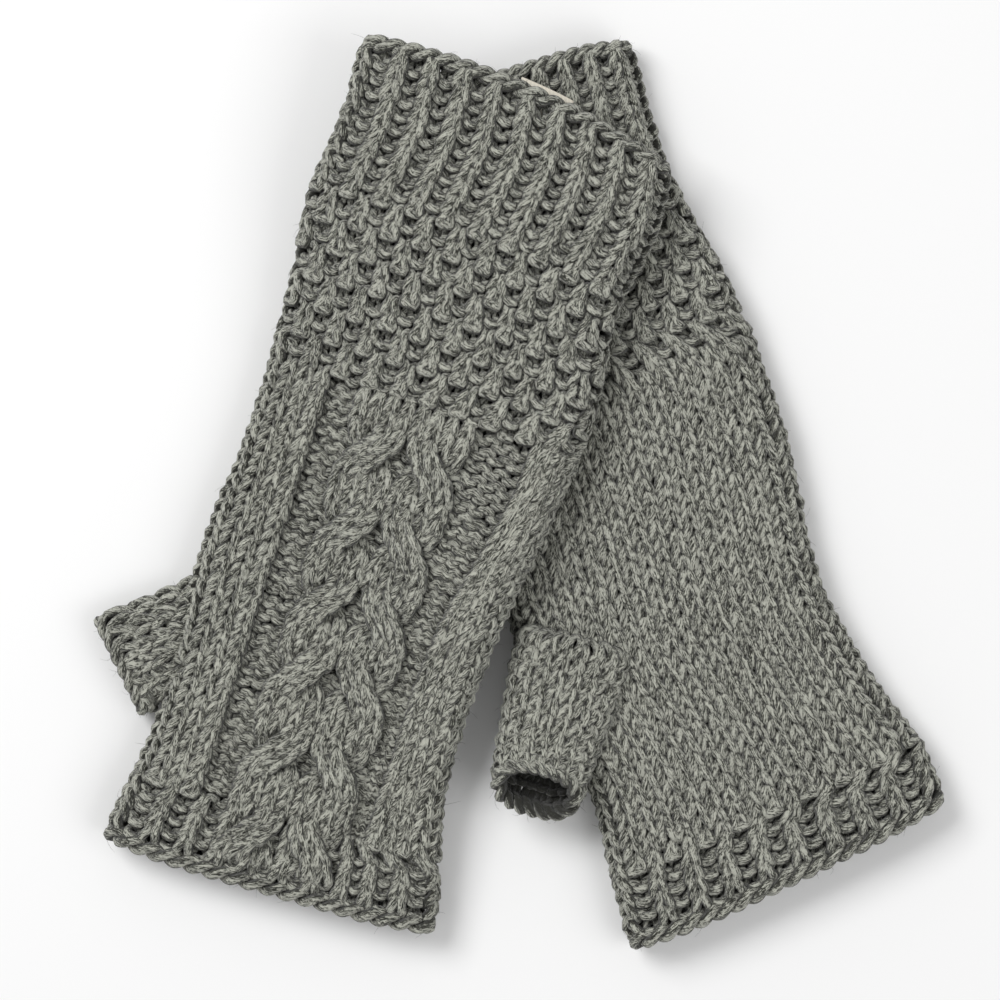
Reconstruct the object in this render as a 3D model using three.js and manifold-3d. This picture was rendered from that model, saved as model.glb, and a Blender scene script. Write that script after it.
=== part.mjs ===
// A pair of hand-knitted fingerless gloves, lying flat: the right glove on its back with its palm
// up, and the left glove, back of the hand up, lying across it. Millimetres, +Z up, +Y towards the
// cuffs. Each glove is a flattened tube of knitting, 4.5 mm thick, open at both ends, with a short
// open tube for the thumb. Its zones are separate solids with a small gap between them.
import * as THREE from 'three';
import { mergeVertices } from 'three/addons/utils/BufferGeometryUtils.js';
import Module from 'manifold-3d';

const wasm = await Module();
wasm.setup();

// ---- Driving dimensions ----

const WALL = 4.5;              // thickness of the knitted fabric
const HALF_THICK = 8.5;        // half the thickness of a glove lying flat
const CROWN = 1.5;             // how far the upper layer bulges in the middle
const GAP = 0.35;              // clearance between neighbouring solids
const CABLE_RISE = 2.5;        // how far the cable stands above the fabric beside it

const EDGE_CUFF = 7;           // length of the rolled cast-on edge
const RIB_END = 45;            // distance from the cuff's rim to the end of the ribbing
const BAND_END = 112;          // distance from the cuff's rim to the end of the moss stitch band
const HEM = 25;                // distance from the fingers' rim to the start of the finger hem
const EDGE_FINGER = 8;         // length of the bind-off edge at the fingers
const EDGE_THICK = 6;          // thickness of a rolled edge

const FOLD = 0.25;             // share of each layer's width parameter that bends round one fold
const CABLE_FROM = 0.37;       // the cable panel's sides, in the same parameter
const CABLE_TO = 0.63;

const FOLD_GAP = 0.008;         // what each layer stops short of a fold's middle, same parameter
const FLAT_SPAN = 174;         // fabric's width between the bends for one unit of the parameter

const THUMB_WALL = 3;          // thickness of the thumb's fabric
const EDGE_THUMB = 5;          // length of the thumb's bind-off edge
const THUMB_CLEAR = 0.7;       // clearance between the right thumb's tube and the palm round it
const LEFT_OPENING = [-14, 4]; // where the left thumb's opening runs through the palm, from its root

const RIM_SECTION = 0.4;       // a rolled edge's section radius, on a ring of radius 1
const RIM_SIDES = 8;           // flat sides of its section
const THUMB_SIDES = 24;        // flat sides round a thumb

const LABEL_FROM = 1.41;       // the label's sides, in the width parameter of the lower layer
const LABEL_TO = 1.51;
const LABEL_END = 20;          // distance from the cuff's rim to the label's inner end
const LABEL_THICK = 0.8;       // thickness of its folded ribbon

const DRAPE = 60;              // width over which the left glove comes down from the right one

const WOOL = '#6b6b64';
const WOOL_DARK = '#5e5f58';
const RIBBON = '#e4dcc8';

// ---- The two gloves ----

// Each outline gives the left and right folds as [y, x] stations from the cuff to the fingers.
// cuffRim and fingerRim give the rims' y for a place q across the glove, from -1 to 1.
const RIGHT = {
  name: 'right',
  palmUp: true,
  x: 38.1,
  y: 2.43,
  turn: THREE.MathUtils.degToRad(20),
  leftFold: [[147, -38], [105, -41], [50, -49], [0, -53.5], [-45, -55], [-95, -49], [-118, -52], [-146, -55]],
  rightFold: [[147, 50.5], [105, 47.5], [50, 54], [10, 55], [-63, 49], [-95, 54.5], [-118, 61], [-146, 63]],
  cuffRim: (q) => 147 - 1.5 * q - 4 * q ** 4,
  fingerRim: (q) => -143.5 + 5.5 * q + 3 * q ** 4,
};

const LEFT = {
  name: 'left',
  palmUp: false,
  x: -43.8,
  y: 1.63,
  turn: THREE.MathUtils.degToRad(-17.67),
  leftFold: [[142, -54], [115, -53], [88, -56], [55, -53], [0, -52.5], [-36, -55], [-100, -52], [-142, -57.5]],
  rightFold: [[142, 57], [118, 59], [88, 54.5], [45, 58], [10, 54.5], [-50, 48], [-85, 47.5], [-142, 60]],
  cuffRim: (q) => 142.5 - 5.5 * q - 6 * q ** 2,
  fingerRim: (q) => -142 + 1.5 * q + 3 * q ** 4,
};

// The left glove lies on top of the right glove's palm. Outside the line of the right glove's left
// fold it comes down to the table.
const STACK_HEIGHT = 2 * HALF_THICK + CROWN + 0.8;
const RIGHT_EDGE_X = -53.5;
const RIGHT_EDGE_SLOPE = 0.1;

// A thumb tube: its root's centre, the angle it splays from the glove's length, its size, its
// height above the table, the slant of its root, and the arc that turns its mouth up.
const RIGHT_THUMB = {
  root: [-41, -48.5],
  splay: THREE.MathUtils.degToRad(35),
  length: 38,
  halfWidth: 17.5,
  halfHeight: 6.5,
  height: 15.6,
  rootSlant: 0,
  curlLength: 16,
  curlAngle: THREE.MathUtils.degToRad(32),
};

const LEFT_THUMB = {
  root: [-54.8, -70.7],
  splay: THREE.MathUtils.degToRad(46.5),
  length: 15.5,
  halfWidth: 15,
  halfHeight: 6,
  height: 6.6,
  rootSlant: THREE.MathUtils.degToRad(41),
  curlLength: 2,
  curlAngle: THREE.MathUtils.degToRad(1),
};

// ---- Curves and frames ----

// The value at y between [y, value] stations that run from high y to low y.
function alongStations(stations, y) {
  const last = stations.length - 1;
  let i = 0;
  while (i < last - 1 && y < stations[i + 1][0]) {
    i += 1;
  }
  const [y0, v0] = stations[i];
  const [y1, v1] = stations[i + 1];
  const t = THREE.MathUtils.clamp((y0 - y) / (y0 - y1), 0, 1);
  return THREE.MathUtils.lerp(v0, v1, t);
}

// How far a point of the left glove is raised, from its place in the left glove's own plan.
function stackLift(x, y) {
  const c = Math.cos(LEFT.turn - RIGHT.turn);
  const s = Math.sin(LEFT.turn - RIGHT.turn);
  const dx = LEFT.x - RIGHT.x;
  const dy = LEFT.y - RIGHT.y;
  const offsetX = dx * Math.cos(RIGHT.turn) + dy * Math.sin(RIGHT.turn);
  const offsetY = -dx * Math.sin(RIGHT.turn) + dy * Math.cos(RIGHT.turn);
  const rightX = offsetX + x * c - y * s;
  const rightY = offsetY + x * s + y * c;
  const outside = RIGHT_EDGE_X + RIGHT_EDGE_SLOPE * rightY - rightX;
  return STACK_HEIGHT * (1 - THREE.MathUtils.smoothstep(outside, 0, DRAPE));
}

// A point of a glove's wall. around runs 0 to 1 over the upper layer from the left fold to the
// right fold, and 1 to 2 back under the lower layer. fromCuff is the distance from the cuff's rim
// along the middle, and depth is the distance in from the outer surface.
function wallPoint(glove, around, fromCuff, depth) {
  const upper = around <= 1;
  const a = upper ? around : 2 - around;
  const length = glove.cuffRim(0) - glove.fingerRim(0);
  const yMid = glove.cuffRim(0) - fromCuff;
  const left = alongStations(glove.leftFold, yMid);
  const right = alongStations(glove.rightFold, yMid);
  const r = HALF_THICK;
  let x;
  let angle;
  if (a < FOLD) {
    angle = Math.PI - (a / FOLD) * (Math.PI / 2);
    x = left + r;
  } else if (a > 1 - FOLD) {
    angle = ((1 - a) / FOLD) * (Math.PI / 2);
    x = right - r;
  } else {
    angle = Math.PI / 2;
    x = THREE.MathUtils.mapLinear(a, FOLD, 1 - FOLD, left + r, right - r);
  }
  const reach = r - depth;
  x += reach * Math.cos(angle);
  const q = THREE.MathUtils.clamp((2 * x - left - right) / (right - left), -1, 1);
  const share = fromCuff / length;
  const cuffSkew = glove.cuffRim(q) - glove.cuffRim(0);
  const fingerSkew = glove.fingerRim(q) - glove.fingerRim(0);
  const y = yMid + cuffSkew * (1 - share) ** 2 + fingerSkew * share ** 2;
  const crown = upper ? CROWN * (1 - q * q) : 0;
  const rise = (reach + crown) * Math.sin(angle);
  const lift = glove === LEFT ? stackLift(x, y) : 0;
  return new THREE.Vector3(x, y, r + lift + (upper ? rise : -rise));
}

// A point of a thumb. turn is the angle round the tube, along runs from 0 at the root to length at
// the mouth, share is 0 on the tube's axis and 1 on its surface, and grow widens the section.
function thumbPoint(thumb, turn, along, share, grow) {
  const roundness = 0.8;
  const side = share * (thumb.halfWidth + grow) * roundCorner(Math.cos(turn), roundness);
  const rise = share * (thumb.halfHeight + grow) * roundCorner(Math.sin(turn), roundness);
  const rootShift = side * Math.tan(thumb.rootSlant);
  const rootShare = Math.min(1, along / thumb.length);
  const s = along + rootShift * (1 - rootShare);
  const straight = thumb.length - thumb.curlLength;
  const curlRadius = thumb.curlLength / thumb.curlAngle;
  const bend = Math.max(0, s - straight) / curlRadius;
  const out = Math.min(s, straight) + (curlRadius - rise) * Math.sin(bend);
  const up = curlRadius * (1 - Math.cos(bend)) + rise * Math.cos(bend);
  const dirX = -Math.sin(thumb.splay);
  const dirY = -Math.cos(thumb.splay);
  return new THREE.Vector3(
    thumb.root[0] + dirX * out - dirY * side,
    thumb.root[1] + dirY * out + dirX * side,
    thumb.height + up,
  );
}

// Bends a cosine or sine towards a rounded rectangle: 1 is an ellipse, 0 a rectangle.
function roundCorner(value, roundness) {
  return Math.sign(value) * Math.abs(value) ** roundness;
}

// ---- Solids ----

// Moves each vertex of a unit geometry to place(vertex), and closes its seams.
function shaped(geometry, place) {
  const position = geometry.getAttribute('position');
  const vertex = new THREE.Vector3();
  for (let i = 0; i < position.count; i += 1) {
    vertex.fromBufferAttribute(position, i);
    const to = place(vertex);
    position.setXYZ(i, to.x, to.y, to.z);
  }
  geometry.deleteAttribute('normal');
  geometry.deleteAttribute('uv');
  return mergeVertices(geometry, 1e-4);
}

// A panel of the wall between two places around and two distances from the cuff, from a sheet of
// width steps and length steps. rise is how far its middle stands above the fabric beside it.
function panel(glove, [aroundFrom, aroundTo], [cuffFrom, cuffTo], widthSteps, lengthSteps, rise = 0) {
  const sheet = new THREE.BoxGeometry(1, 1, 1, widthSteps, lengthSteps, 1);
  return shaped(sheet, (v) => {
    const across = v.x + 0.5;
    const around = THREE.MathUtils.lerp(aroundFrom, aroundTo, across);
    const fromCuff = THREE.MathUtils.lerp(cuffTo, cuffFrom, v.y + 0.5);
    const depth = v.z > 0 ? -rise * Math.sin(Math.PI * across) : WALL;
    return wallPoint(glove, around, fromCuff, depth);
  });
}

// A rolled edge round an open end, whose centre lies fromCuff from the cuff's rim.
function rim(glove, fromCuff, length) {
  const ring = new THREE.TorusGeometry(1, RIM_SECTION, RIM_SIDES, 40);
  return shaped(ring, (v) => {
    const theta = Math.atan2(v.y, v.x);
    const around = (theta < 0 ? theta + 2 * Math.PI : theta) / Math.PI;
    const outward = (Math.hypot(v.x, v.y) - 1) / RIM_SECTION;
    const depth = (EDGE_THICK / 2) * (1 - outward);
    return wallPoint(glove, around, fromCuff - (v.z / RIM_SECTION) * (length / 2), depth);
  });
}

// The thumb's tube, from a lathed wall whose inner radius is 1 and outer radius 2.
function thumbTube(thumb) {
  const steps = 5;
  const profile = [];
  for (let i = 0; i <= steps; i += 1) {
    profile.push(new THREE.Vector2(2, i / steps));
  }
  for (let i = steps; i >= 0; i -= 1) {
    profile.push(new THREE.Vector2(1, i / steps));
  }
  profile.push(profile[0].clone());
  return shaped(new THREE.LatheGeometry(profile, THUMB_SIDES), (v) => {
    const grow = THUMB_WALL * (Math.hypot(v.x, v.z) - 2);
    return thumbPoint(thumb, Math.atan2(v.x, v.z), v.y * thumb.length, 1, grow);
  });
}

// The thumb's bind-off edge: a rolled ring round the mouth, a little fatter than the wall.
function thumbRim(thumb) {
  const fat = 0.6;
  const ring = new THREE.TorusGeometry(1, RIM_SECTION, RIM_SIDES, THUMB_SIDES);
  return shaped(ring, (v) => {
    const outward = (Math.hypot(v.x, v.y) - 1) / RIM_SECTION;
    const grow = (THUMB_WALL / 2) * (outward - 1) + fat * outward;
    const along = thumb.length + GAP + (EDGE_THUMB / 2) * (1 + v.z / RIM_SECTION);
    return thumbPoint(thumb, Math.atan2(v.y, v.x), along, 1, grow);
  });
}

// A closed plug of the thumb's section, from one place along it to another.
function thumbPlug(thumb, from, to, grow) {
  const steps = 6;
  const profile = [new THREE.Vector2(0, 0)];
  for (let i = 0; i <= steps; i += 1) {
    profile.push(new THREE.Vector2(1, i / steps));
  }
  profile.push(new THREE.Vector2(0, 1));
  return shaped(new THREE.LatheGeometry(profile, THUMB_SIDES), (v) => {
    const along = THREE.MathUtils.lerp(from, to, v.y);
    return thumbPoint(thumb, Math.atan2(v.x, v.z), along, Math.hypot(v.x, v.z), grow);
  });
}

function toSolid(geometry) {
  const mesh = new wasm.Mesh({
    numProp: 3,
    vertProperties: new Float32Array(geometry.getAttribute('position').array),
    triVerts: new Uint32Array(geometry.index.array),
  });
  return new wasm.Manifold(mesh);
}

function cutAway(geometry, tool) {
  const mesh = toSolid(geometry).subtract(toSolid(tool)).getMesh();
  const result = new THREE.BufferGeometry();
  result.setAttribute('position', new THREE.BufferAttribute(new Float32Array(mesh.vertProperties), 3));
  result.setIndex(new THREE.BufferAttribute(new Uint32Array(mesh.triVerts), 1));
  return result;
}

// ---- Assembly ----

function addPiece(group, name, geometry, color) {
  geometry.computeVertexNormals();
  const material = new THREE.MeshStandardMaterial({ color, roughness: 0.95, metalness: 0 });
  const mesh = new THREE.Mesh(geometry, material);
  mesh.name = name;
  group.add(mesh);
}

function makeGlove(glove, thumb) {
  const group = new THREE.Group();
  group.position.set(glove.x, glove.y, 0);
  group.rotation.z = glove.turn;
  const add = (name, geometry, color) => addPiece(group, `${glove.name}_${name}`, geometry, color);

  const length = glove.cuffRim(0) - glove.fingerRim(0);
  const upper = [FOLD_GAP, 1 - FOLD_GAP];
  const lower = [1 + FOLD_GAP, 2 - FOLD_GAP];
  const palm = glove.palmUp ? upper : lower;
  const back = glove.palmUp ? lower : upper;
  const cuff = [EDGE_CUFF + GAP, RIB_END];
  const band = [RIB_END + GAP, BAND_END];
  const hand = [BAND_END + GAP, length - HEM - GAP];
  const hem = [length - HEM, length - EDGE_FINGER - GAP];

  add('cuff_edge', rim(glove, EDGE_CUFF / 2, EDGE_CUFF), WOOL_DARK);
  add('cuff_back', panel(glove, back, cuff, 12, 3), WOOL);
  add('cuff_palm', panel(glove, palm, cuff, 12, 3), WOOL);
  add('band_back', panel(glove, back, band, 12, 5), WOOL_DARK);
  add('band_palm', panel(glove, palm, band, 12, 5), WOOL_DARK);

  // The back of the hand is three strips: a knit strip beside each fold, and the cable between.
  const stripGap = GAP / FLAT_SPAN;
  const start = glove.palmUp ? 1 : 0;
  const cable = [start + CABLE_FROM, start + CABLE_TO];
  const leftStrip = [back[0], cable[0] - stripGap];
  const rightStrip = [cable[1] + stripGap, back[1]];
  const rise = glove.palmUp ? 0 : CABLE_RISE;
  const thumbStrip = glove.palmUp ? rightStrip : leftStrip;
  const outerStrip = glove.palmUp ? leftStrip : rightStrip;
  add('back_thumb_side', panel(glove, thumbStrip, hand, 6, 9), WOOL);
  add('cable_panel', panel(glove, cable, hand, 5, 9, rise), WOOL);
  add('back_outer_side', panel(glove, outerStrip, hand, 6, 9), WOOL);

  // The palm has the thumb's opening in it.
  const opening = glove.palmUp
    ? thumbPlug(thumb, -THUMB_CLEAR, thumb.length + EDGE_THUMB, THUMB_CLEAR)
    : thumbPlug(thumb, ...LEFT_OPENING, -THUMB_WALL);
  add('hand_palm', cutAway(panel(glove, palm, hand, 12, 9), opening), WOOL);

  add('hem_back', panel(glove, back, hem, 12, 2), WOOL);
  add('hem_palm', panel(glove, palm, hem, 12, 2), WOOL);
  add('finger_edge', rim(glove, length - EDGE_FINGER / 2, EDGE_FINGER), WOOL_DARK);
  add('thumb', thumbTube(thumb), WOOL);
  add('thumb_edge', thumbRim(thumb), WOOL_DARK);
  return group;
}

// A short woven ribbon sewn inside the left cuff, against the lower layer's inner face.
function makeLabel() {
  const ribbon = new THREE.BoxGeometry(1, 1, 1, 3, 2, 1);
  return shaped(ribbon, (v) => {
    const around = THREE.MathUtils.lerp(LABEL_FROM, LABEL_TO, v.x + 0.5);
    const fromCuff = THREE.MathUtils.lerp(LABEL_END, EDGE_CUFF + GAP, v.y + 0.5);
    const depth = WALL + GAP + LABEL_THICK * (0.5 - v.z);
    return wallPoint(LEFT, around, fromCuff, depth);
  });
}

const gloves = new THREE.Group();
const rightGlove = makeGlove(RIGHT, RIGHT_THUMB);
const leftGlove = makeGlove(LEFT, LEFT_THUMB);
addPiece(leftGlove, 'left_label', makeLabel(), RIBBON);
gloves.add(rightGlove, leftGlove);

export default gloves;
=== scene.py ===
"""A pair of hand-knitted fingerless gloves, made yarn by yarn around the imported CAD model.

Shapes are worked out in millimetres and turned into metres when a mesh is made. Each glove is a
flattened tube. A place on its fabric is given by how far it is across (0 to 1 over the upper layer
from the left fold to the right fold, 1 to 2 back under the lower layer), how far it is from the
cuff's rim, and its height above the middle of the fabric's thickness. The rows of knitting run
round the tube, and are worked from the cuff to the fingers.
"""
import math

import bpy
import numpy as np
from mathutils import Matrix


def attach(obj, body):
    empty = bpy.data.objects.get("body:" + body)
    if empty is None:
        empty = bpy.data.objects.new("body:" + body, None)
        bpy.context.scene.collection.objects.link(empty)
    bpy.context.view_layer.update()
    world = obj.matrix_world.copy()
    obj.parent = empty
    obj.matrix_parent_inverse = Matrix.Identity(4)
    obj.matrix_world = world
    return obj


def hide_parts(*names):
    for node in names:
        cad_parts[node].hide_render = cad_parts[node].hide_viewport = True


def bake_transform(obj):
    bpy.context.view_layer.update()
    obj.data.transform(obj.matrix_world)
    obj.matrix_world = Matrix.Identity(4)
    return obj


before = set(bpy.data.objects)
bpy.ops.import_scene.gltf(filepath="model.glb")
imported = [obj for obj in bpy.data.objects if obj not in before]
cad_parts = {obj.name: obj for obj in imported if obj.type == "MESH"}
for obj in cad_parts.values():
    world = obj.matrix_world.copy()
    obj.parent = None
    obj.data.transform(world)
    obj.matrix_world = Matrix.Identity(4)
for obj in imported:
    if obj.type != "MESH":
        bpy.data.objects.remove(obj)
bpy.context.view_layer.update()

MM = 0.001
rng = np.random.default_rng(7)

# ---- The gloves' outline stations and zones, the same as the CAD model's, in millimetres ----

HALF_THICK = 8.5          # half a glove's thickness at its folds
CROWN = 1.5               # how far the upper layer rises in the middle
EDGE_CUFF = 7.0           # the zones' ends, from the cuff's rim
RIB_END = 45.0
BAND_END = 112.0
HEM = 25.0                # the zones' starts, from the finger rim
EDGE_FINGER = 8.0
EDGE_THUMB = 5.0          # how long a thumb's edge is
DRAPE = 60.0              # how far the left glove takes to come down from the right one
STACK_HEIGHT = 2 * HALF_THICK + CROWN + 0.8
RIGHT_EDGE_X = -53.5      # the right glove's edge, which the left glove drapes over
RIGHT_EDGE_SLOPE = 0.1

RIGHT = {
    "name": "right", "palm_up": True, "x": 38.1, "y": 2.43, "turn": math.radians(20),
    "left_fold": [(147, -38), (105, -41), (50, -49), (0, -53.5),
                  (-45, -55), (-95, -49), (-118, -52), (-146, -55)],
    "right_fold": [(147, 50.5), (105, 47.5), (50, 54), (10, 55),
                   (-63, 49), (-95, 54.5), (-118, 61), (-146, 63)],
    "cuff_rim": lambda q: 147 - 1.5 * q - 4 * q**4,
    "finger_rim": lambda q: -143.5 + 5.5 * q + 3 * q**4,
}
LEFT = {
    "name": "left", "palm_up": False, "x": -43.8, "y": 1.63, "turn": math.radians(-17.67),
    "left_fold": [(142, -54), (115, -53), (88, -56), (55, -53),
                  (0, -52.5), (-36, -55), (-100, -52), (-142, -57.5)],
    "right_fold": [(142, 57), (118, 59), (88, 54.5), (45, 58),
                   (10, 54.5), (-50, 48), (-85, 47.5), (-142, 60)],
    "cuff_rim": lambda q: 142.5 - 5.5 * q - 6 * q**2,
    "finger_rim": lambda q: -142 + 1.5 * q + 3 * q**4,
}
for glove in (RIGHT, LEFT):
    glove["length"] = glove["cuff_rim"](0) - glove["finger_rim"](0)

# ---- The thumbs, which are wider and more open than the CAD model's ----

THUMB_SQUARE = 0.8        # the power that squares off a thumb's section
OPENING_SQUARE = 2.5      # and the one that squares off the opening it leaves in the hand
OPENING_EXTRA = 3         # how much taller the opening is than the thumb, on each side
SECTION_STEPS = 721       # places round a thumb's section at which its length is added up

# For each thumb: the middle of its root, its angle from the glove's length, the size and height of
# its tube, the slant of its root, the arc that turns its mouth up and the size of its mouth. Then
# its stitches round, where its knitting starts from the root, and its rows.
THUMBS = {
    "right": {
        "root": (-41, -48.5), "splay": math.radians(35), "length": 41.5, "half_width": 19.5,
        "half_height": 6.5, "height": 17, "root_slant": 0, "curl_length": 16,
        "curl_angle": math.radians(42), "mouth_width": 16, "mouth_height": 12.5,
        "round": 16, "start": -8, "rows": 10,
    },
    "left": {
        "root": (-54.8, -70.7), "splay": math.radians(46.5), "length": 15.5, "half_width": 17.5,
        "half_height": 6, "height": 6.6, "root_slant": math.radians(41), "curl_length": 2,
        "curl_angle": math.radians(1), "mouth_width": 19.5, "mouth_height": 6.4,
        "round": 12, "start": -14, "rows": 6,
    },
}

# ---- The yarn and its loops ----

YARN = 1.54               # the yarn's radius
PLUMP = 0.17              # how much thicker the yarn is where it stands in front
WANDER = 0.03             # how much its thickness wanders along it
LOOP_DEPTH = 1.9          # how far a loop's legs stand in front of its head
MID_DEPTH = 3.1           # the middle of the fabric's thickness, below its outer face
LOOP_REACH = 0.85         # half a loop's length, in rows
LOOP_WAIST = 0.235        # how much a loop's legs lean, in stitches
HEAD_TUCK = (0.5, 0.2)    # how far a head in front is pulled back over a knit or a purl, in rows
UNEVEN = 0.050            # how uneven the stitches are, in stitches
SIDES = 7                 # sides of the yarn's section
POINTS = 16               # points along one stitch
FUZZ = 1.2                # stray fibres to a stitch
FIBRE = 0.055             # a stray fibre's radius
FIBRE_LENGTH = (1.6, 4.2)
FIBRE_POINTS = 4          # points along a fibre
FIBRE_SPREAD = 1.2        # how far round the yarn a fibre can start from its outward side, in radians
FIBRE_CURL = 0.45         # how much it curls over
TWIST = 27.0              # the length in which the yarn's plies go once round
PLIES = 4
PAINTED_SIDE_SHADE = 0.13         # painted shade: how much darker the yarn's sides are than its outward face, for the crevices between stitches
PAINTED_PLY_SHADE = 0.018         # and painted shade in the grooves between its plies
GRAIN = 0.15              # how short the fibres' streaks are along the yarn
FIBRE_SHARE = 0.72        # how much of the yarn's mottling is fine fibres
FLECK_SHARE = 0.28        # and how much is larger flecks

# ---- The pattern ----

ROUND = 40                # stitches round a glove
BACK = 22                 # of them, on its back in the hand
PALM = ROUND - BACK
RIB_ROWS = 8
BAND_ROWS = 14
HAND_ROWS = 32
HEM_ROWS = 4
HAND_START = RIB_ROWS + BAND_ROWS
HEM_START = HAND_START + HAND_ROWS
ROWS = HEM_START + HEM_ROWS
ROW_HEIGHT = 4.3          # a row's height, for loops that reach past the first row or the last one
KNIT_RELIEF = 0.8         # how far the rib's knit and purl columns stand out
PURL_RELIEF = -1.6
MOSS_RELIEF = 0.35
HEM_RELIEF = 0.8          # the hem's relief, as a share of the cuff's
BACK_COLUMNS = (          # the back's columns from the thumb's side: how many, knit or purl, and relief
    (3, 1, 0.0),
    (1, 1, 1.3),
    (2, -1, -3.0),
    (8, -1, -2.2),
    (3, -1, -2.8),
    (5, 1, 0.6),
)
THUMB_STRIP_END = -30.0   # where the back's groups of columns end, across the glove
GUTTER_END = -19.7
CABLE_END = 21.0
OUTER_GUTTER_END = [(-142, 28), (-100, 28), (-40, 30), (19, 41), (40, 41)]
PARTING = (14, 20)        # the columns part this far before the band's end, over this length
GATHERING = (2, 8)        # and gather this far before the hem's start, over this length
GATHERED = 0.6            # how nearly even they are there

CROSS_LENGTH = 18.0       # how long one crossing of the cable's strands is
CROSSINGS = (19, -8, -33, -58, -86, -114)    # where they start, along the glove
CABLE_TOP = 29.0          # the cable's ends, along the glove
CABLE_FOOT = -132.5
CABLE_ROWS = 34
CABLE_MIDDLE = 0.8        # its middle, across the glove
CABLE_WIDTH = 41.0
STRAND_HEIGHT = 0.9       # how far a strand stands out
STRAND_RIDGE = 0.9        # how much further its middle does
STRAND_RISE = 2.6         # how far it rises or sinks where it crosses another one
STRAND_PINCH = 0.12       # how much narrower it is there

ROPE_POINTS = 18          # points along one turn of a rim's rope
ROPE_LEAN = 0.6           # how far its outward side leans to the open end, so the painted side shade spares the rope's open-end face; its fibres lean with it
RIM_AROUND = 225          # about how far it is round a rim
RIM_PITCH = 12.5          # the length in which a rope goes once round itself
THUMB_PITCH = 11

LABEL_FROM = 1.34         # where the label is across the lower layer
LABEL_TO = 1.51
LABEL_START = -1.5        # where it is from the cuff's rim
LABEL_END = 20.0
LABEL_HEIGHT = -3.4       # its height above the middle of the fabric, which is inside the cuff
LABEL_THICK = 0.45
LABEL_STEPS = 24          # faces along each of its sides


# ---- The fabric's surface ----

def smooth_step(t):
    t = np.clip(t, 0, 1)
    return t * t * (3 - 2 * t)


def through(stations, y):
    """A smooth curve through (y, value) stations, read at y."""
    ys, values = np.array(sorted(stations), float).T
    slopes = np.gradient(values, ys)
    i = np.clip(np.searchsorted(ys, y) - 1, 0, len(ys) - 2)
    step = ys[i + 1] - ys[i]
    t = np.clip((y - ys[i]) / step, 0, 1)
    rise = values[i + 1] - values[i]
    bend = t * (1 - t) * step * ((1 - t) * slopes[i] - t * slopes[i + 1])
    return values[i] + rise * t * t * (3 - 2 * t) + bend


def to_world(glove, x, y):
    c, s = math.cos(glove["turn"]), math.sin(glove["turn"])
    return glove["x"] + x * c - y * s, glove["y"] + x * s + y * c


def in_glove(glove, wx, wy):
    """A place in the shared frame, in a glove's own frame."""
    c, s = math.cos(glove["turn"]), math.sin(glove["turn"])
    dx, dy = wx - glove["x"], wy - glove["y"]
    return dx * c + dy * s, dy * c - dx * s


def turned(glove, vectors):
    """Directions in a glove's own frame, in the shared frame."""
    c, s = math.cos(glove["turn"]), math.sin(glove["turn"])
    x, y, z = vectors[..., 0], vectors[..., 1], vectors[..., 2]
    return np.stack([x * c - y * s, x * s + y * c, z], -1)


def stack_lift(x, y):
    """How far the left glove is raised at a point of its own plan, where it lies on the right glove."""
    right_x, right_y = in_glove(RIGHT, *to_world(LEFT, x, y))
    outside = RIGHT_EDGE_X + RIGHT_EDGE_SLOPE * right_y - right_x
    return STACK_HEIGHT * (1 - smooth_step(outside / DRAPE))


def folds(glove, from_cuff):
    """The places of both folds, and the flat width between their bends."""
    y = glove["cuff_rim"](0) - from_cuff
    left = through(glove["left_fold"], y)
    right = through(glove["right_fold"], y)
    return left, right, right - left - 2 * HALF_THICK


BEND = HALF_THICK - MID_DEPTH             # the radius of the fabric's middle at a fold
QUARTER = math.pi * BEND / 2              # the length of half a fold


def across_at(glove, x, from_cuff):
    """How far across the upper layer a place x is."""
    left, _, flat = folds(glove, from_cuff)
    return (QUARTER + x - left - HALF_THICK) / (flat + 2 * QUARTER)


def wall(glove, across, from_cuff, height):
    """Points and outward normals of the fabric, as arrays whose last axis is x, y, z."""
    across = np.mod(across, 2)
    upper = across <= 1
    a = np.where(upper, across, 2 - across)
    left, right, flat = folds(glove, from_cuff)
    s = a * (flat + 2 * QUARTER)
    angle = np.where(s < QUARTER, math.pi - s / BEND, math.pi / 2)
    angle = np.where(s > flat + QUARTER, (flat + 2 * QUARTER - s) / BEND, angle)
    reach = BEND + height
    x = left + HALF_THICK + np.clip(s - QUARTER, 0, flat) + reach * np.cos(angle)
    q = np.clip((2 * x - left - right) / (right - left), -1, 1)
    share = np.clip(from_cuff / glove["length"], 0, 1)
    cuff_skew = glove["cuff_rim"](q) - glove["cuff_rim"](0)
    finger_skew = glove["finger_rim"](q) - glove["finger_rim"](0)
    y = glove["cuff_rim"](0) - from_cuff + cuff_skew * (1 - share) ** 2 + finger_skew * share**2
    side = np.where(upper, 1.0, -1.0)
    crown = np.where(upper, CROWN * (1 - q * q), 0)
    lift = stack_lift(x, y) if glove is LEFT else 0
    z = HALF_THICK + lift + side * (reach + crown) * np.sin(angle)
    wx, wy = to_world(glove, x, y)
    normal = turned(glove, np.stack([np.cos(angle), 0 * angle, side * np.sin(angle)], -1))
    return np.stack([wx, wy, z], -1), normal


def squared(v):
    """A sine or cosine, made fuller for a thumb's squarish section."""
    return np.sign(v) * np.abs(v) ** THUMB_SQUARE


def thumb_way(thumb):
    """The direction a thumb points in, in the glove's own frame."""
    return -math.sin(thumb["splay"]), -math.cos(thumb["splay"])


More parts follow.
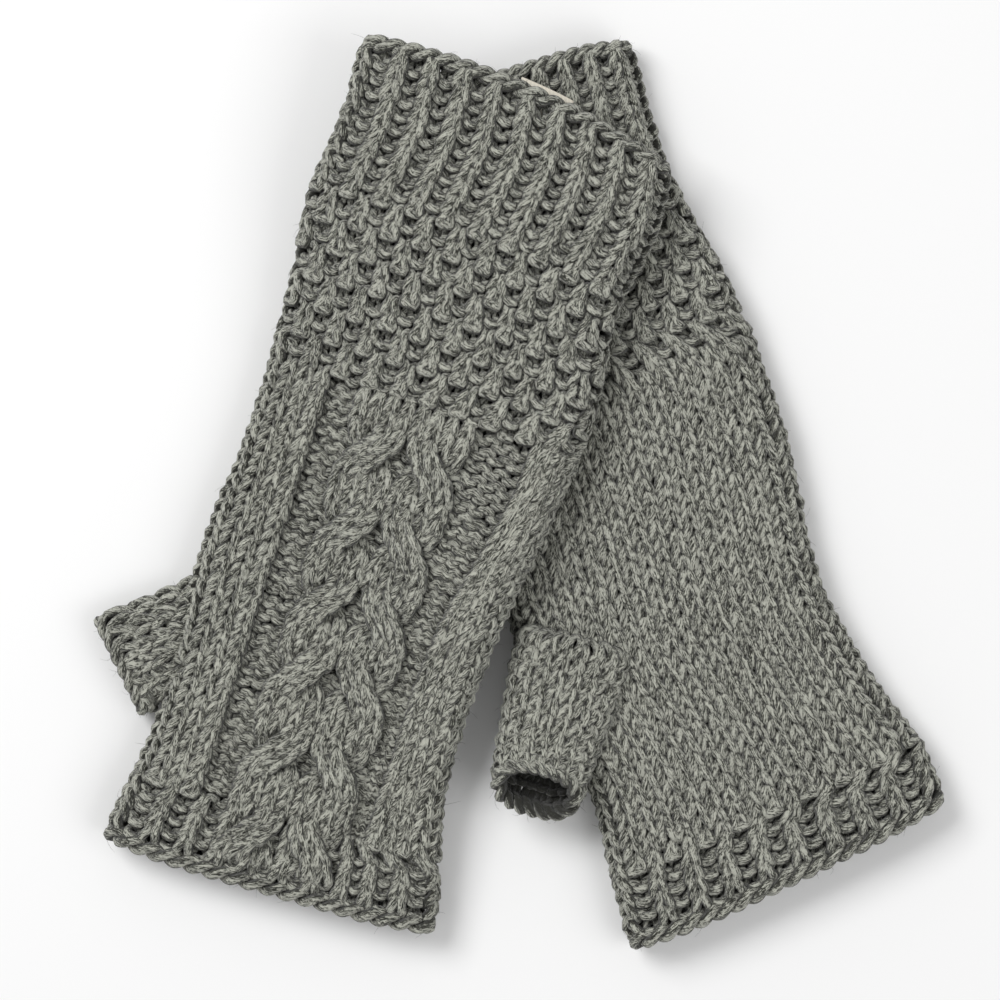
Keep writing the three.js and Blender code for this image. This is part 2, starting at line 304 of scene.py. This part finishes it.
def even_turn(thumb, share):
    """The angle at a share of the way round a thumb's section, where equal shares are equally long."""
    angles = np.linspace(0, 2 * math.pi, SECTION_STEPS)
    c, s = np.cos(angles), np.sin(angles)
    width = (thumb["half_width"] + thumb["mouth_width"]) / 2 - MID_DEPTH
    tall = (thumb["half_height"] + thumb["mouth_height"]) / 2 - MID_DEPTH
    side = width * squared(c)
    up = tall * squared(s)
    lengths = np.concatenate([[0], np.cumsum(np.hypot(np.diff(side), np.diff(up)))])
    whole = np.floor(share)
    return np.interp(share - whole, lengths / lengths[-1], angles) + 2 * math.pi * whole


def thumb_wall(glove, share, along, height):
    """Points and outward normals of a thumb tube: share goes once round it, along runs from its root."""
    thumb = THUMBS[glove["name"]]
    turn = even_turn(thumb, share)
    grow = height - MID_DEPTH
    c, s = np.cos(turn), np.sin(turn)
    opening = smooth_step(along / (thumb["length"] + EDGE_THUMB))
    half_width = thumb["half_width"] + (thumb["mouth_width"] - thumb["half_width"]) * opening
    half_height = thumb["half_height"] + (thumb["mouth_height"] - thumb["half_height"]) * opening
    side = (half_width + grow) * squared(c)
    up = (half_height + grow) * squared(s)
    root_share = np.clip(along / thumb["length"], 0, 1)
    s_along = along + side * math.tan(thumb["root_slant"]) * (1 - root_share)
    straight = thumb["length"] - thumb["curl_length"]
    radius = thumb["curl_length"] / thumb["curl_angle"]
    bent = np.maximum(s_along - straight, 0)
    angle = bent / radius
    out = np.minimum(s_along, straight) + radius * np.sin(angle) - up * np.sin(angle)
    z = thumb["height"] + radius * (1 - np.cos(angle)) + up * np.cos(angle)
    dir_x, dir_y = thumb_way(thumb)
    x = thumb["root"][0] + dir_x * out - dir_y * side
    y = thumb["root"][1] + dir_y * out + dir_x * side
    wx, wy = to_world(glove, x, y)
    flat_normal, up_normal = c / half_width, s / half_height
    back = up_normal * np.sin(angle)
    normal = np.stack([-dir_y * flat_normal - dir_x * back, dir_x * flat_normal - dir_y * back,
                       up_normal * np.cos(angle)], -1)
    return np.stack([wx, wy, z], -1), turned(glove, unit(normal))


# ---- Yarn ----

def unit(v):
    return v / np.maximum(np.linalg.norm(v, axis=-1, keepdims=True), 1e-9)


def ring_quads(run, step, after, steps, first, sides):
    """The corners of the quads that join each ring of a run's section to the next."""
    side = np.arange(sides)
    next_side = (side + 1) % sides
    here = (first + (run * steps + step) * sides)[:, None]
    there = (first + (run * steps + after) * sides)[:, None]
    return np.stack([here + side, here + next_side, there + next_side, there + side], -1)


class Yarns:
    """Collects runs of yarn, and makes them into one mesh."""

    def __init__(self):
        self.vertices, self.corners, self.totals, self.uvs = [], [], [], []
        self.count = 0

    def add(self, points, normals, radius, closed=False, keep=None, sides=SIDES):
        """Adds runs of yarn along points, an array of runs by points by 3. Where keep is false, a
        run is left out, and its ends are closed. No yarn goes below the floor."""
        runs, steps, _ = points.shape
        radius = np.broadcast_to(radius, (runs, steps))
        points = np.concatenate([points[..., :2], np.maximum(points[..., 2], radius)[..., None]], -1)
        if closed:
            ahead, behind = np.roll(points, -1, 1), np.roll(points, 1, 1)
        else:
            ahead = np.concatenate([points[:, 1:], 2 * points[:, -1:] - points[:, -2:-1]], 1)
            behind = np.concatenate([2 * points[:, :1] - points[:, 1:2], points[:, :-1]], 1)
        tangent = unit(ahead - behind)
        across = unit(np.cross(tangent, normals))
        out = np.cross(across, tangent)
        turn = np.arange(sides)[:, None] * 2 * math.pi / sides
        ring = np.cos(turn) * across[:, :, None] + np.sin(turn) * out[:, :, None]
        ring = radius[:, :, None, None] * ring
        self.vertices.append((points[:, :, None] + ring).reshape(-1, 3))

        kept = np.ones((runs, steps), bool) if keep is None else keep
        joined = kept & np.roll(kept, -1, 1)
        if not closed:
            joined[:, -1] = False
        run, step = np.nonzero(joined)
        quads = ring_quads(run, step, (step + 1) % steps, steps, self.count, sides)
        self.corners.append(quads.reshape(-1))
        self.totals.append(np.full(quads.shape[0] * sides, 4))
        lengths = np.linalg.norm(ahead - points, axis=-1)
        start = np.cumsum(lengths, 1) - lengths + rng.uniform(0, 400, (runs, 1))
        u0 = np.repeat(start[run, step][:, None], sides, 1)
        u1 = u0 + lengths[run, step][:, None]
        # the turn round the yarn's section, a quarter of the way from across to out, from which the wool
        # paints shade on the yarn's sides
        v0 = np.broadcast_to(np.arange(sides) / sides, u0.shape)
        v1 = v0 + 1 / sides
        uv = np.stack([np.stack(pair, -1) for pair in ((u0, v0), (u0, v1), (u1, v1), (u1, v0))], -2)
        self.uvs.append(uv.reshape(-1, 2))

        before = np.roll(joined, 1, 1)
        self.close_ends(np.nonzero(joined & ~before), steps, sides, reverse=True)
        self.close_ends(np.nonzero(before & ~joined), steps, sides, reverse=False)
        self.count += runs * steps * sides

    def close_ends(self, place, steps, sides, reverse):
        run, step = place
        side = np.arange(sides)[::-1] if reverse else np.arange(sides)
        corners = (self.count + (run * steps + step) * sides)[:, None] + side
        self.corners.append(corners.reshape(-1))
        self.totals.append(np.full(len(run), sides))
        self.uvs.append(np.zeros((len(run) * sides, 2)))

    def fuzz(self, points, normals, radius, count):
        """Adds fibres that stand out of the yarn, each a thin tube that curls over."""
        radius = np.broadcast_to(radius, points.shape[:2])
        run = rng.integers(0, points.shape[0], count)
        step = rng.integers(0, points.shape[1] - 1, count)
        tangent = unit(points[run, step + 1] - points[run, step])
        out = unit(normals[run, step])
        side = np.cross(tangent, out)
        angle = rng.uniform(-FIBRE_SPREAD, FIBRE_SPREAD, (count, 1))
        away = out * np.cos(angle) + side * np.sin(angle)
        root = points[run, step] + away * (radius[run, step][:, None] - FIBRE)
        way = unit(away + 0.8 * rng.normal(0, 1, (count, 3)) + tangent * rng.choice((-1, 1), (count, 1)))
        way += np.maximum(-np.sum(way * away, -1, keepdims=True), 0) * away
        curl = tangent * rng.choice((-1, 1), (count, 1)) + 0.7 * rng.normal(0, 1, (count, 3)) - 0.5 * away
        length = rng.uniform(*FIBRE_LENGTH, (count, 1))
        share = np.linspace(0, 1, FIBRE_POINTS)[None, :, None]
        bent = way[:, None] * share + FIBRE_CURL * curl[:, None] * share**2
        line = root[:, None] + length[:, None] * bent
        thin = FIBRE * (1.1 - 0.7 * share[..., 0])
        self.add(line, np.broadcast_to(side[:, None], line.shape), thin, sides=3)

    def build(self, name, material):
        vertices = np.concatenate(self.vertices) * MM
        corners = np.concatenate(self.corners)
        totals = np.concatenate(self.totals)
        used = np.zeros(len(vertices), bool)
        used[corners] = True
        corners = (np.cumsum(used) - 1)[corners]
        vertices = vertices[used]
        mesh = bpy.data.meshes.new(name)
        mesh.vertices.add(len(vertices))
        mesh.vertices.foreach_set("co", vertices.astype(np.float32).ravel())
        mesh.loops.add(len(corners))
        mesh.loops.foreach_set("vertex_index", corners.astype(np.int32))
        mesh.polygons.add(len(totals))
        mesh.polygons.foreach_set("loop_start", (np.cumsum(totals) - totals).astype(np.int32))
        mesh.polygons.foreach_set("loop_total", totals.astype(np.int32))
        mesh.polygons.foreach_set("use_smooth", np.ones(len(totals), bool))
        mesh.update(calc_edges=True)
        layer = mesh.uv_layers.new(name="Yarn")
        layer.data.foreach_set("uv", np.concatenate(self.uvs).astype(np.float32).ravel())
        mesh.materials.append(material)
        piece = bpy.data.objects.new(name, mesh)
        bpy.context.scene.collection.objects.link(piece)
        return piece


# ---- Stitches ----

def ease_nodes(nodes, steps):
    """Values that ease from each node to the next along the last axis, with steps points from each."""
    blend = (1 - np.cos(math.pi * np.arange(steps) / steps)) / 2
    here = nodes[..., None]
    there = np.roll(nodes, -1, -1)[..., None]
    return (here + (there - here) * blend).reshape(*nodes.shape[:-1], -1)


def stitch_rows(face, closed):
    """Loops of knitting, as places in stitches across and in rows along, and heights.

    face holds 1 for a knit stitch and -1 for a purl, with one row more than is worked, whose
    stitches hold the last row's loops. Each row is one run of yarn."""
    rows, columns = face.shape[0] - 1, face.shape[1]
    here, above = face[:rows], face[1:]
    before = np.roll(here, 1, 1)
    if not closed:
        before[:, 0] = here[:, 0]
    nodes = np.stack([-(here + before) / 2, here, -above, here], -1).reshape(rows, columns * 4)
    jitter = rng.normal(0, 1, (3, rows, columns * 4))
    height = ease_nodes(nodes + 0.1 * jitter[0], POINTS // 4)
    front_head = np.zeros((rows, columns, 4))
    front_head[..., 2] = np.maximum(-above, 0) * np.where(here > 0, *HEAD_TUCK)
    tuck = ease_nodes(front_head.reshape(rows, -1), POINTS // 4)
    t = np.tile(np.arange(POINTS) / POINTS, columns)
    column = np.repeat(np.arange(columns), POINTS)
    x = column + t + LOOP_WAIST * np.sin(4 * math.pi * t)
    x = x + ease_nodes(UNEVEN * jitter[1], POINTS // 4)
    y = np.arange(rows)[:, None] + 0.5 - LOOP_REACH * np.cos(2 * math.pi * t) - tuck
    y = y + ease_nodes(UNEVEN * jitter[2], POINTS // 4)
    return x, y, LOOP_DEPTH * height


def spun(height, scale=1.0):
    """The yarn's radius along its length: a little thick and thin, and plumper where it is in front."""
    steps = np.arange(height.shape[1])
    phase = rng.uniform(0, 2 * math.pi, (3, height.shape[0], 1))
    swell = sum(np.sin(steps / period + phase[k]) for k, period in enumerate((5.3, 17.0, 41.0)))
    return YARN * scale * (1 + WANDER * swell + PLUMP * height / LOOP_DEPTH)


# ---- A glove's pattern ----

def back_groups(from_cuff):
    """The back's groups of columns, from the thumb's side: each one's stitches, and where it ends.

    Its two purl gutters run beside the cable; the outer one widens towards the cuff."""
    y = LEFT["cuff_rim"](0) - from_cuff
    fixed = [(4, THUMB_STRIP_END), (2, GUTTER_END), (8, CABLE_END)]
    return [(count, end + 0 * y) for count, end in fixed] + [(3, through(OUTER_GUTTER_END, y))]


def layout(glove, from_cuff):
    """The 41 edges of the columns round a glove at a distance from the cuff, in layers across."""
    groups = back_groups(from_cuff)
    starts = [0 * from_cuff]
    counts = [count for count, _ in groups] + [BACK - sum(count for count, _ in groups)]
    starts += [across_at(LEFT, end, np.minimum(from_cuff, LEFT["length"])) for _, end in groups]
    starts.append(1 + 0 * from_cuff)
    back = []
    for k, count in enumerate(counts):
        for i in range(count):
            back.append(starts[k] + (starts[k + 1] - starts[k]) * i / count)
    palm = [0 * from_cuff + i / PALM for i in range(PALM)]
    if glove["palm_up"]:
        edges = palm + [1 + b for b in back]
    else:
        edges = back + [1 + p for p in palm]
    edges = np.stack(edges + [2 + 0 * from_cuff], -1)
    plain = np.arange(ROUND + 1) * 2 / ROUND
    share = smooth_step((from_cuff - BAND_END + PARTING[0]) / PARTING[1])[..., None]
    to_hem = smooth_step((from_cuff - glove["length"] + HEM + GATHERING[0]) / GATHERING[1])[..., None]
    return plain + (edges - plain) * share * (1 - GATHERED * to_hem)


def pattern(glove):
    """Which stitches are knit, and how far each column stands out, row by row, in millimetres."""
    i, j = np.meshgrid(np.arange(ROUND), np.arange(ROWS + 1))
    rib = np.where(i % 2 == 0, 1.0, -1.0)
    moss = np.where((i + j // 2) % 2 == 0, 1.0, -1.0)
    back = np.concatenate([np.full(count, float(kind)) for count, kind, _ in BACK_COLUMNS])
    back_relief = np.concatenate([np.full(count, relief) for count, _, relief in BACK_COLUMNS])
    palm = np.ones(PALM)
    order = (palm, back) if glove["palm_up"] else (back, palm)
    raised = (0 * palm, back_relief) if glove["palm_up"] else (back_relief, 0 * palm)
    hand = np.tile(np.concatenate(order), (ROWS + 1, 1))
    hand_relief = np.tile(np.concatenate(raised), (ROWS + 1, 1))
    rib_relief = np.where(rib > 0, KNIT_RELIEF, PURL_RELIEF)
    zones = [j < RIB_ROWS, j < HAND_START, j < HEM_START]
    face = np.select(zones, [rib, moss, hand], rib)
    height = np.select(zones, [rib_relief, MOSS_RELIEF * moss, hand_relief], HEM_RELIEF * rib_relief)
    return face, height[:ROWS]


def row_places(glove):
    """The distances from the cuff at which the rows begin, and the last one's end."""
    ends = [EDGE_CUFF - 2, RIB_END, BAND_END, glove["length"] - HEM, glove["length"] - EDGE_FINGER + 2]
    counts = [RIB_ROWS, BAND_ROWS, HAND_ROWS, HEM_ROWS]
    places = [np.linspace(a, b, n, endpoint=False) for a, b, n in zip(ends[:-1], ends[1:], counts)]
    return np.concatenate(places + [[ends[-1]]])


def sample(table, x, row):
    """Reads a table of rows by columns smoothly between its columns' middles, going round."""
    columns = table.shape[1]
    place = x - 0.5
    low = np.floor(place)
    f = (1 - np.cos(math.pi * (place - low))) / 2
    low = low.astype(int)
    return table[row, low % columns] * (1 - f) + table[row, (low + 1) % columns] * f


def knit_glove(glove):
    """Every row of a glove: points, normals and radii, as arrays of rows by points."""
    face, relief = pattern(glove)
    x, y, z = stitch_rows(face, closed=True)
    x = np.broadcast_to(x, z.shape)
    places = row_places(glove)
    from_cuff = np.interp(y, np.arange(ROWS + 1), places)
    beyond = np.maximum(y - ROWS, 0) + np.minimum(y, 0)
    from_cuff = from_cuff + beyond * ROW_HEIGHT
    edges = layout(glove, from_cuff)
    low = np.clip(np.floor(x), 0, ROUND - 1).astype(int)
    a = np.take_along_axis(edges, low[..., None], -1)[..., 0]
    b = np.take_along_axis(edges, low[..., None] + 1, -1)[..., 0]
    across = a + (b - a) * (x - low)
    row = np.broadcast_to(np.arange(ROWS)[:, None], z.shape)
    points, normals = wall(glove, across, from_cuff, z + sample(relief, x, row))
    return points, normals, spun(z)


def add_piece(name, yarns, material, nodes):
    piece = yarns.build(name, material)
    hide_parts(*nodes)
    return piece


# ---- Edges, cable and thumbs ----

def rope(yarns, surface, length, pitch, radius, scale, open_end):
    """Two yarns twisted into a rope round a rim. surface(share, up, out) gives points and normals,
    and open_end is 1 where up runs towards the open end and -1 where it runs away from it."""
    turns = max(1, round(length / pitch))
    steps = turns * ROPE_POINTS
    share = np.arange(steps) / steps
    for phase in (0, math.pi):
        angle = 2 * math.pi * turns * share + phase
        up, out = radius * np.cos(angle), radius * np.sin(angle)
        points, normals = surface(share, up, out)
        beyond, _ = surface(share, up + open_end, out)
        normals = unit(normals + ROPE_LEAN * unit(beyond - points))
        radii = spun(np.zeros((1, steps)), scale)
        yarns.add(points[None], normals[None], radii, closed=True)
        yarns.fuzz(points[None], normals[None], radii, int(FUZZ * turns * 2))


def rim_rope(glove, from_cuff, radius, scale, open_end):
    yarns = Yarns()

    def surface(share, up, out):
        return wall(glove, 2 * share, from_cuff + up, out)

    rope(yarns, surface, RIM_AROUND, RIM_PITCH, radius, scale, open_end)
    return yarns


def strand_slot(row, crossings, first_out):
    """Where a strand is between the inner slot, 0, and the outer one, 1, and whether it is in front."""
    slot = np.zeros_like(row)
    front = np.zeros_like(row)
    inner = first_out
    for start in crossings:
        share = np.clip((row - start) / CROSS_LENGTH, 0, 1)
        step = smooth_step(share)
        slot = slot + (step if inner else -step)
        front = front + np.sin(math.pi * share) * (1 if inner else -1)
        inner = not inner
    return slot + (0 if first_out else 1), front


def cable(glove):
    """A horseshoe cable: on each side of its middle two strands of two columns keep crossing."""
    yarns = Yarns()
    rim = glove["cuff_rim"](0)
    crossings = [rim - place for place in CROSSINGS]
    start, end = rim - CABLE_TOP, rim - CABLE_FOOT
    face = np.ones((CABLE_ROWS + 1, 2))
    for side in (-1, 1):
        for first_out in (True, False):
            x, y, z = stitch_rows(face, closed=False)
            x = np.broadcast_to(x, z.shape)
            row = start + (end - start) * y / CABLE_ROWS
            slot, front = strand_slot(row, crossings, first_out)
            ahead, _ = strand_slot(row + 0.5, crossings, first_out)
            behind, _ = strand_slot(row - 0.5, crossings, first_out)
            width = CABLE_WIDTH / 4
            middle = CABLE_MIDDLE + side * width * (0.5 + slot)
            slope = side * width * (ahead - behind)
            reach = (x - 1) * width / 2 * (1 - STRAND_PINCH * np.abs(front))
            lean = 1 / np.sqrt(1 + slope**2)
            place_x = middle + reach * lean
            place_y = row - reach * slope * lean
            ridge = STRAND_RIDGE * (1 - (x - 1) ** 2)
            height = z + STRAND_HEIGHT + ridge + STRAND_RISE * front
            points, normals = wall(glove, across_at(glove, place_x, place_y), place_y, height)
            radii = spun(z)
            yarns.add(points, normals, radii)
            yarns.fuzz(points, normals, radii, int(FUZZ * z.size / POINTS))
    return yarns


def knit_thumb(glove):
    thumb = THUMBS[glove["name"]]
    face = np.ones((thumb["rows"] + 1, thumb["round"]))
    x, y, z = stitch_rows(face, closed=True)
    x = np.broadcast_to(x, z.shape)
    along = thumb["start"] + (thumb["length"] + 1 - thumb["start"]) * y / thumb["rows"]
    points, normals = thumb_wall(glove, x / thumb["round"], along, z)
    yarns = Yarns()
    radii = spun(z)
    yarns.add(points, normals, radii, closed=True)
    yarns.fuzz(points, normals, radii, int(FUZZ * x.size / POINTS))
    return yarns


def thumb_rope(glove):
    thumb = THUMBS[glove["name"]]
    yarns = Yarns()

    def surface(share, up, out):
        return thumb_wall(glove, share, thumb["length"] + EDGE_THUMB / 2 + up, out)

    around = math.pi * (thumb["mouth_width"] + thumb["mouth_height"])
    rope(yarns, surface, around, THUMB_PITCH, radius=1.35, scale=1.05, open_end=1)
    return yarns


# ---- Materials ----

def node(nodes, kind, **settings):
    made = nodes.new(kind)
    for key, value in settings.items():
        if key in made.inputs:
            made.inputs[key].default_value = value
        else:
            setattr(made, key, value)
    return made


def math_node(tree, operation, *values):
    made = tree.nodes.new("ShaderNodeMath")
    made.operation = operation
    for socket, value in zip(made.inputs, values):
        if isinstance(value, (int, float)):
            socket.default_value = value
        else:
            tree.links.new(value, socket)
    return made.outputs[0]


def ramp_node(tree, value, stops):
    made = tree.nodes.new("ShaderNodeValToRGB")
    elements = made.color_ramp.elements
    while len(elements) < len(stops):
        elements.new(0.5)
    for element, (place, tone) in zip(elements, stops):
        element.position = place
        element.color = (*tone, 1)
    tree.links.new(value, made.inputs["Fac"])
    return made.outputs["Color"]


def wool_material(name, dark, middle, light):
    """Heathered wool yarn: its plies twist round it, and its fibres run along them. Its sides and the
    grooves between its plies are darkened with painted shade.
    """
    material = bpy.data.materials.new(name)
    material.use_nodes = True
    tree = material.node_tree
    nodes, links = tree.nodes, tree.links
    shader = nodes["Principled BSDF"]
    uv = node(nodes, "ShaderNodeUVMap", uv_map="Yarn")
    split = nodes.new("ShaderNodeSeparateXYZ")
    links.new(uv.outputs["UV"], split.inputs[0])
    along, turn = split.outputs["X"], split.outputs["Y"]
    twisted = math_node(tree, "ADD", turn, math_node(tree, "DIVIDE", along, TWIST))
    angle = math_node(tree, "MULTIPLY", twisted, 2 * math.pi)
    place = nodes.new("ShaderNodeCombineXYZ")
    links.new(math_node(tree, "COSINE", angle), place.inputs["X"])
    links.new(math_node(tree, "SINE", angle), place.inputs["Y"])
    links.new(math_node(tree, "MULTIPLY", along, GRAIN), place.inputs["Z"])

    fibres = node(nodes, "ShaderNodeTexNoise", Scale=5.5, Detail=2.0, Roughness=0.8)
    links.new(place.outputs[0], fibres.inputs["Vector"])
    flecks = node(nodes, "ShaderNodeTexNoise", Scale=1.3, Detail=2.0, Roughness=0.6)
    links.new(place.outputs[0], flecks.inputs["Vector"])
    ply = math_node(tree, "COSINE", math_node(tree, "MULTIPLY", angle, PLIES))
    mixed = math_node(tree, "ADD", math_node(tree, "MULTIPLY", fibres.outputs[0], FIBRE_SHARE),
                      math_node(tree, "MULTIPLY", flecks.outputs[0], FLECK_SHARE))
    # painted shade: the yarn darkens where it turns away from its outward face, for the crevices between
    # stitches, and in the grooves between its plies
    outward = math_node(tree, "SINE", math_node(tree, "MULTIPLY", turn, 2 * math.pi))
    painted_crevice_shade = math_node(tree, "MULTIPLY", outward, PAINTED_SIDE_SHADE)
    grooves = math_node(tree, "MULTIPLY", ply, PAINTED_PLY_SHADE)
    shaded = math_node(tree, "ADD", mixed, math_node(tree, "ADD", painted_crevice_shade, grooves))
    colour = ramp_node(tree, shaded, [(0.55, dark), (0.60, middle), (0.645, light)])
    links.new(colour, shader.inputs["Base Color"])

    relief = math_node(tree, "ADD", math_node(tree, "MULTIPLY", ply, 0.3), fibres.outputs[0])
    bump = node(nodes, "ShaderNodeBump", Strength=0.9, Distance=0.0008)
    links.new(relief, bump.inputs["Height"])
    links.new(bump.outputs[0], shader.inputs["Normal"])
    shader.inputs["Roughness"].default_value = 0.9
    shader.inputs["Specular IOR Level"].default_value = 0.2
    shader.inputs["Sheen Weight"].default_value = 0.25
    shader.inputs["Sheen Roughness"].default_value = 0.5
    return material


def ribbon_material(name):
    """A cream ribbon, finely woven across."""
    material = bpy.data.materials.new(name)
    material.use_nodes = True
    tree = material.node_tree
    shader = tree.nodes["Principled BSDF"]
    place = tree.nodes.new("ShaderNodeTexCoord")
    weave = node(tree.nodes, "ShaderNodeTexWave", Scale=700.0, Distortion=0.6)
    tree.links.new(place.outputs["Object"], weave.inputs["Vector"])
    colour = ramp_node(tree, weave.outputs["Fac"], [(0.2, (0.60, 0.55, 0.44)), (0.8, (0.86, 0.82, 0.72))])
    tree.links.new(colour, shader.inputs["Base Color"])
    shader.inputs["Roughness"].default_value = 0.7
    return material


wool = wool_material("wool", (0.028, 0.028, 0.022), (0.096, 0.098, 0.080), (0.52, 0.525, 0.455))


def sewn_label(glove, material):
    """A ribbon sewn inside the cuff, whose end shows just past the rim."""
    steps = np.linspace(0, 1, LABEL_STEPS + 1)
    u, v = np.meshgrid(steps, steps)
    across = LABEL_FROM + (LABEL_TO - LABEL_FROM) * u
    from_cuff = LABEL_START + (LABEL_END - LABEL_START) * v
    rise = 0.5 * np.sin(math.pi * u) + 0.25 * np.sin(5 * u + 2 * v)
    vertices = []
    for depth in (0, LABEL_THICK):
        points, _ = wall(glove, across, from_cuff, LABEL_HEIGHT - rise - depth)
        vertices.append(points.reshape(-1, 3))
    mesh = bpy.data.meshes.new("left_label_ribbon")
    stride = LABEL_STEPS + 1
    size = stride * stride
    faces = []
    for r in range(LABEL_STEPS):
        for c in range(LABEL_STEPS):
            a = r * stride + c
            quad = [a, a + 1, a + stride + 1, a + stride]
            faces.append(quad)
            faces.append([size + k for k in reversed(quad)])
    edge = range(LABEL_STEPS)
    border = ([c for c in edge] + [r * stride + LABEL_STEPS for r in edge]
              + [size - 1 - c for c in edge] + [(LABEL_STEPS - r) * stride for r in edge])
    for a, b in zip(border, border[1:] + border[:1]):
        faces.append([b, a, size + a, size + b])
    mesh.from_pydata((np.concatenate(vertices) * MM).tolist(), [], faces)
    mesh.materials.append(material)
    for polygon in mesh.polygons:
        polygon.use_smooth = True
    piece = bpy.data.objects.new("left_label_ribbon", mesh)
    bpy.context.scene.collection.objects.link(piece)
    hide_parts("left_label")
    width = (LABEL_TO - LABEL_FROM) * (folds(glove, LABEL_END)[2] + 2 * QUARTER)
    return piece


# ---- Assembly ----

def inside_thumb(glove, points):
    """Which points lie inside the glove's thumb tube, where the hand's fabric is open."""
    thumb = THUMBS[glove["name"]]
    x, y = in_glove(glove, points[..., 0], points[..., 1])
    x = x - thumb["root"][0]
    y = y - thumb["root"][1]
    dir_x, dir_y = thumb_way(thumb)
    out = x * dir_x + y * dir_y
    side = -x * dir_y + y * dir_x
    up = points[..., 2] - thumb["height"]
    inner = ((np.abs(side) / (thumb["half_width"] - MID_DEPTH)) ** OPENING_SQUARE
             + (np.abs(up) / (thumb["half_height"] + OPENING_EXTRA)) ** OPENING_SQUARE)
    return (inner < 1) & (out > 0)


def hand_steps(glove, steps):
    """Which points of a row are on the palm, and which on the back of the hand."""
    half = (PALM if glove["palm_up"] else BACK) * POINTS
    upper = np.arange(half + 1)
    lower = np.arange(half, steps + 1) % steps
    return (upper, lower) if glove["palm_up"] else (lower, upper)


def make_glove(glove):
    """Knits a glove's pieces, and returns them by their zones' names."""
    name = glove["name"]
    points, normals, radii = knit_glove(glove)
    steps = points.shape[1]
    keep = ~inside_thumb(glove, points)
    palm_steps, back_steps = hand_steps(glove, steps)

    def zone(piece_name, first, count, chosen, nodes):
        yarns = Yarns()
        rows = slice(first, first + count)
        if chosen is None:
            yarns.add(points[rows], normals[rows], radii[rows], closed=True)
        else:
            yarns.add(points[rows][:, chosen], normals[rows][:, chosen], radii[rows][:, chosen],
                      keep=keep[rows][:, chosen])
        picked = np.arange(steps) if chosen is None else chosen
        fibres = int(FUZZ * count * len(picked) / POINTS)
        yarns.fuzz(points[rows][:, picked], normals[rows][:, picked], radii[rows][:, picked], fibres)
        return add_piece(name + piece_name, yarns, wool, [name + n for n in nodes])

    made = {}
    made["cuff"] = zone("_cuff_knit", 0, RIB_ROWS, None, ["_cuff_back", "_cuff_palm"])
    made["band"] = zone("_band_knit", RIB_ROWS, BAND_ROWS, None, ["_band_back", "_band_palm"])
    made["back"] = zone("_back_knit", HAND_START, HAND_ROWS, back_steps,
                        ["_back_thumb_side", "_back_outer_side"])
    made["palm"] = zone("_palm_knit", HAND_START, HAND_ROWS, palm_steps, ["_hand_palm"])
    made["hem"] = zone("_hem_knit", HEM_START, HEM_ROWS, None, ["_hem_back", "_hem_palm"])
    cuff_rope = rim_rope(glove, 3.3, radius=1.5, scale=1.15, open_end=-1)
    made["cuff_edge"] = add_piece(name + "_cuff_rope", cuff_rope, wool, [name + "_cuff_edge"])
    finger_rope = rim_rope(glove, glove["length"] - 3.6, radius=1.7, scale=1.2, open_end=1)
    made["finger_edge"] = add_piece(name + "_finger_rope", finger_rope, wool, [name + "_finger_edge"])
    made["thumb"] = add_piece(name + "_thumb_knit", knit_thumb(glove), wool, [name + "_thumb"])
    made["thumb_edge"] = add_piece(name + "_thumb_rope", thumb_rope(glove), wool, [name + "_thumb_edge"])
    if glove is LEFT:
        made["cable"] = add_piece("left_cable_knit", cable(glove), wool, ["left_cable_panel"])
    else:
        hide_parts("right_cable_panel")
    return made


def blend_over(piece):
    """Bakes a piece's placement into its mesh; the piece is left without a body."""
    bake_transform(piece)


right = make_glove(RIGHT)
left = make_glove(LEFT)
label = sewn_label(LEFT, ribbon_material("ribbon"))
for part in ("cuff", "band"):
    blend_over(left.pop(part))
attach(left.pop("cuff_edge"), "left_cuff")
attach(label, "left_cuff")
blend_over(right.pop("thumb"))
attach(right.pop("thumb_edge"), "right_thumb_tube")
blend_over(left.pop("thumb"))
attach(left.pop("thumb_edge"), "left_thumb_tube")
for piece in right.values():
    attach(piece, "right_glove")
for piece in left.values():
    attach(piece, "left_glove")

# ---- Floor, lights and camera ----

bpy.ops.mesh.primitive_plane_add(size=4, location=(0, 0, -0.0005))
floor = bpy.context.object
floor.name = "floor"
floor_material = bpy.data.materials.new("floor")
floor_material.use_nodes = True
floor_material.node_tree.nodes["Principled BSDF"].inputs["Base Color"].default_value = (0.9, 0.9, 0.9, 1)
floor.data.materials.append(floor_material)


def area_light(name, place, size, power):
    data = bpy.data.lights.new(name, "AREA")
    data.size = size
    data.energy = power
    light = bpy.data.objects.new(name, data)
    light.location = place
    bpy.context.scene.collection.objects.link(light)
    light.rotation_euler = (-light.location).to_track_quat("-Z", "Y").to_euler()


area_light("key", (-0.9, 0.7, 1.5), 0.9, 22)
area_light("fill", (1.1, -0.5, 1.4), 1.2, 9)
world = bpy.data.worlds.new("world")
world.use_nodes = True
world.node_tree.nodes["Background"].inputs["Color"].default_value = (1, 1, 1, 1)
world.node_tree.nodes["Background"].inputs["Strength"].default_value = 0.45
bpy.context.scene.world = world

camera_data = bpy.data.cameras.new("camera")
camera_data.sensor_width = 36
camera_height = 1.5
middle_height = 0.02
view_width = 0.3333
camera_data.lens = camera_data.sensor_width * (camera_height - middle_height) / view_width
camera = bpy.data.objects.new("camera", camera_data)
camera.location = (-0.00697, -0.0017, camera_height)
bpy.context.scene.collection.objects.link(camera)
bpy.context.scene.camera = camera
bpy.context.scene.view_settings.view_transform = "Standard"
